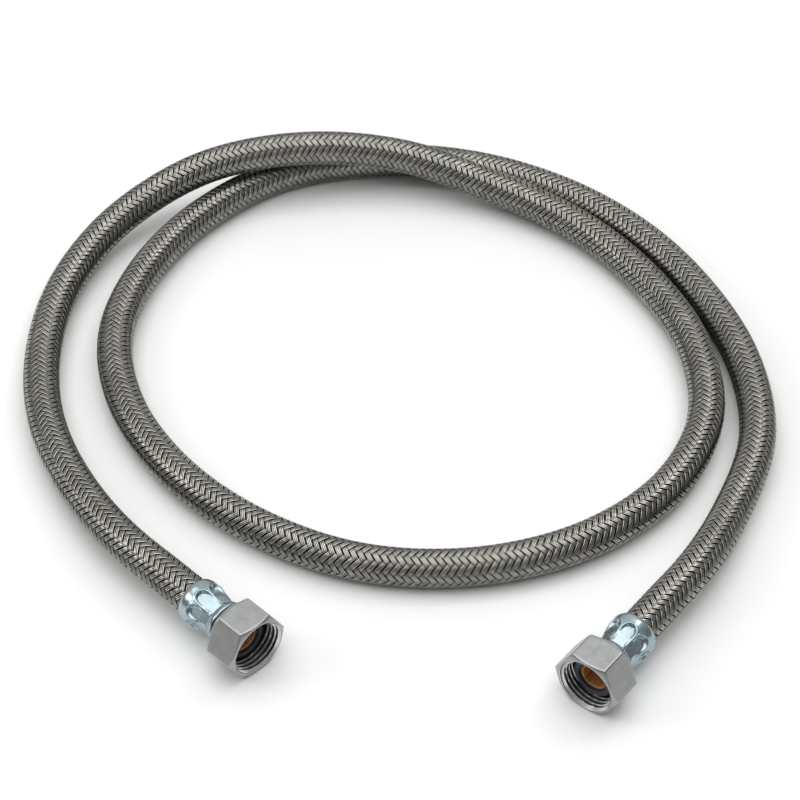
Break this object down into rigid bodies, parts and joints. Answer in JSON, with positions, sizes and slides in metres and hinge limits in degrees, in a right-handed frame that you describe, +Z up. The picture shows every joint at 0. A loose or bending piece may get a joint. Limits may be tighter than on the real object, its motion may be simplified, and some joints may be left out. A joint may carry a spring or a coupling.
{
  "type": "braided supply line",
  "caption": "Flexible braided hose lying in a flat coil, with a swivelling internally threaded hex nut, rubber washer and crimped ferrule at each end.",
  "frame": {"origin": "middle of the footprint of the coil, on the surface it lies on", "axes": "+Z up; +Y from the two nuts towards the far side of the coil, its longest way; +X to the right, with the inlet end on the left"},
  "size_m": [0.2945, 0.3163, 0.0298],
  "materials": {
    "nut": "satin nickel plate",
    "washer": "matte black rubber",
    "stem": "machined brass",
    "ferrule": "bright bluish zinc plate",
    "tube": "smooth dark plastic tube",
    "braid": "woven stainless wire"
  },
  "bodies": {
    "hose": {"inner_tube": "tube", "braid_jacket": "braid", "inlet_stem": "stem", "inlet_ferrule": "ferrule", "outlet_stem": "stem", "outlet_ferrule": "ferrule"},
    "inlet_seal": {"inlet_washer": "washer"},
    "inlet_swivel": {"inlet_nut": "nut"},
    "outlet_seal": {"outlet_washer": "washer"},
    "outlet_swivel": {"outlet_nut": "nut"}
  },
  "joints": [
    {"name": "inlet_spin", "type": "hinge", "parent": "hose", "child": "inlet_seal", "pos_m": [-0.047, -0.134, 0.0115], "axis": [0.7071, -0.7071, 0], "continuous": true},
    {"name": "inlet_end_play", "type": "slide", "parent": "inlet_seal", "child": "inlet_swivel", "axis": [0.7071, -0.7071, 0], "range_m": [-0.0015, 0]},
    {"name": "outlet_spin", "type": "hinge", "parent": "hose", "child": "outlet_seal", "pos_m": [0.065, -0.151, 0.0115], "axis": [-0.6157, -0.788, 0], "continuous": true},
    {"name": "outlet_end_play", "type": "slide", "parent": "outlet_seal", "child": "outlet_swivel", "axis": [-0.6157, -0.788, 0], "range_m": [0, 0.0015]}
  ]
}
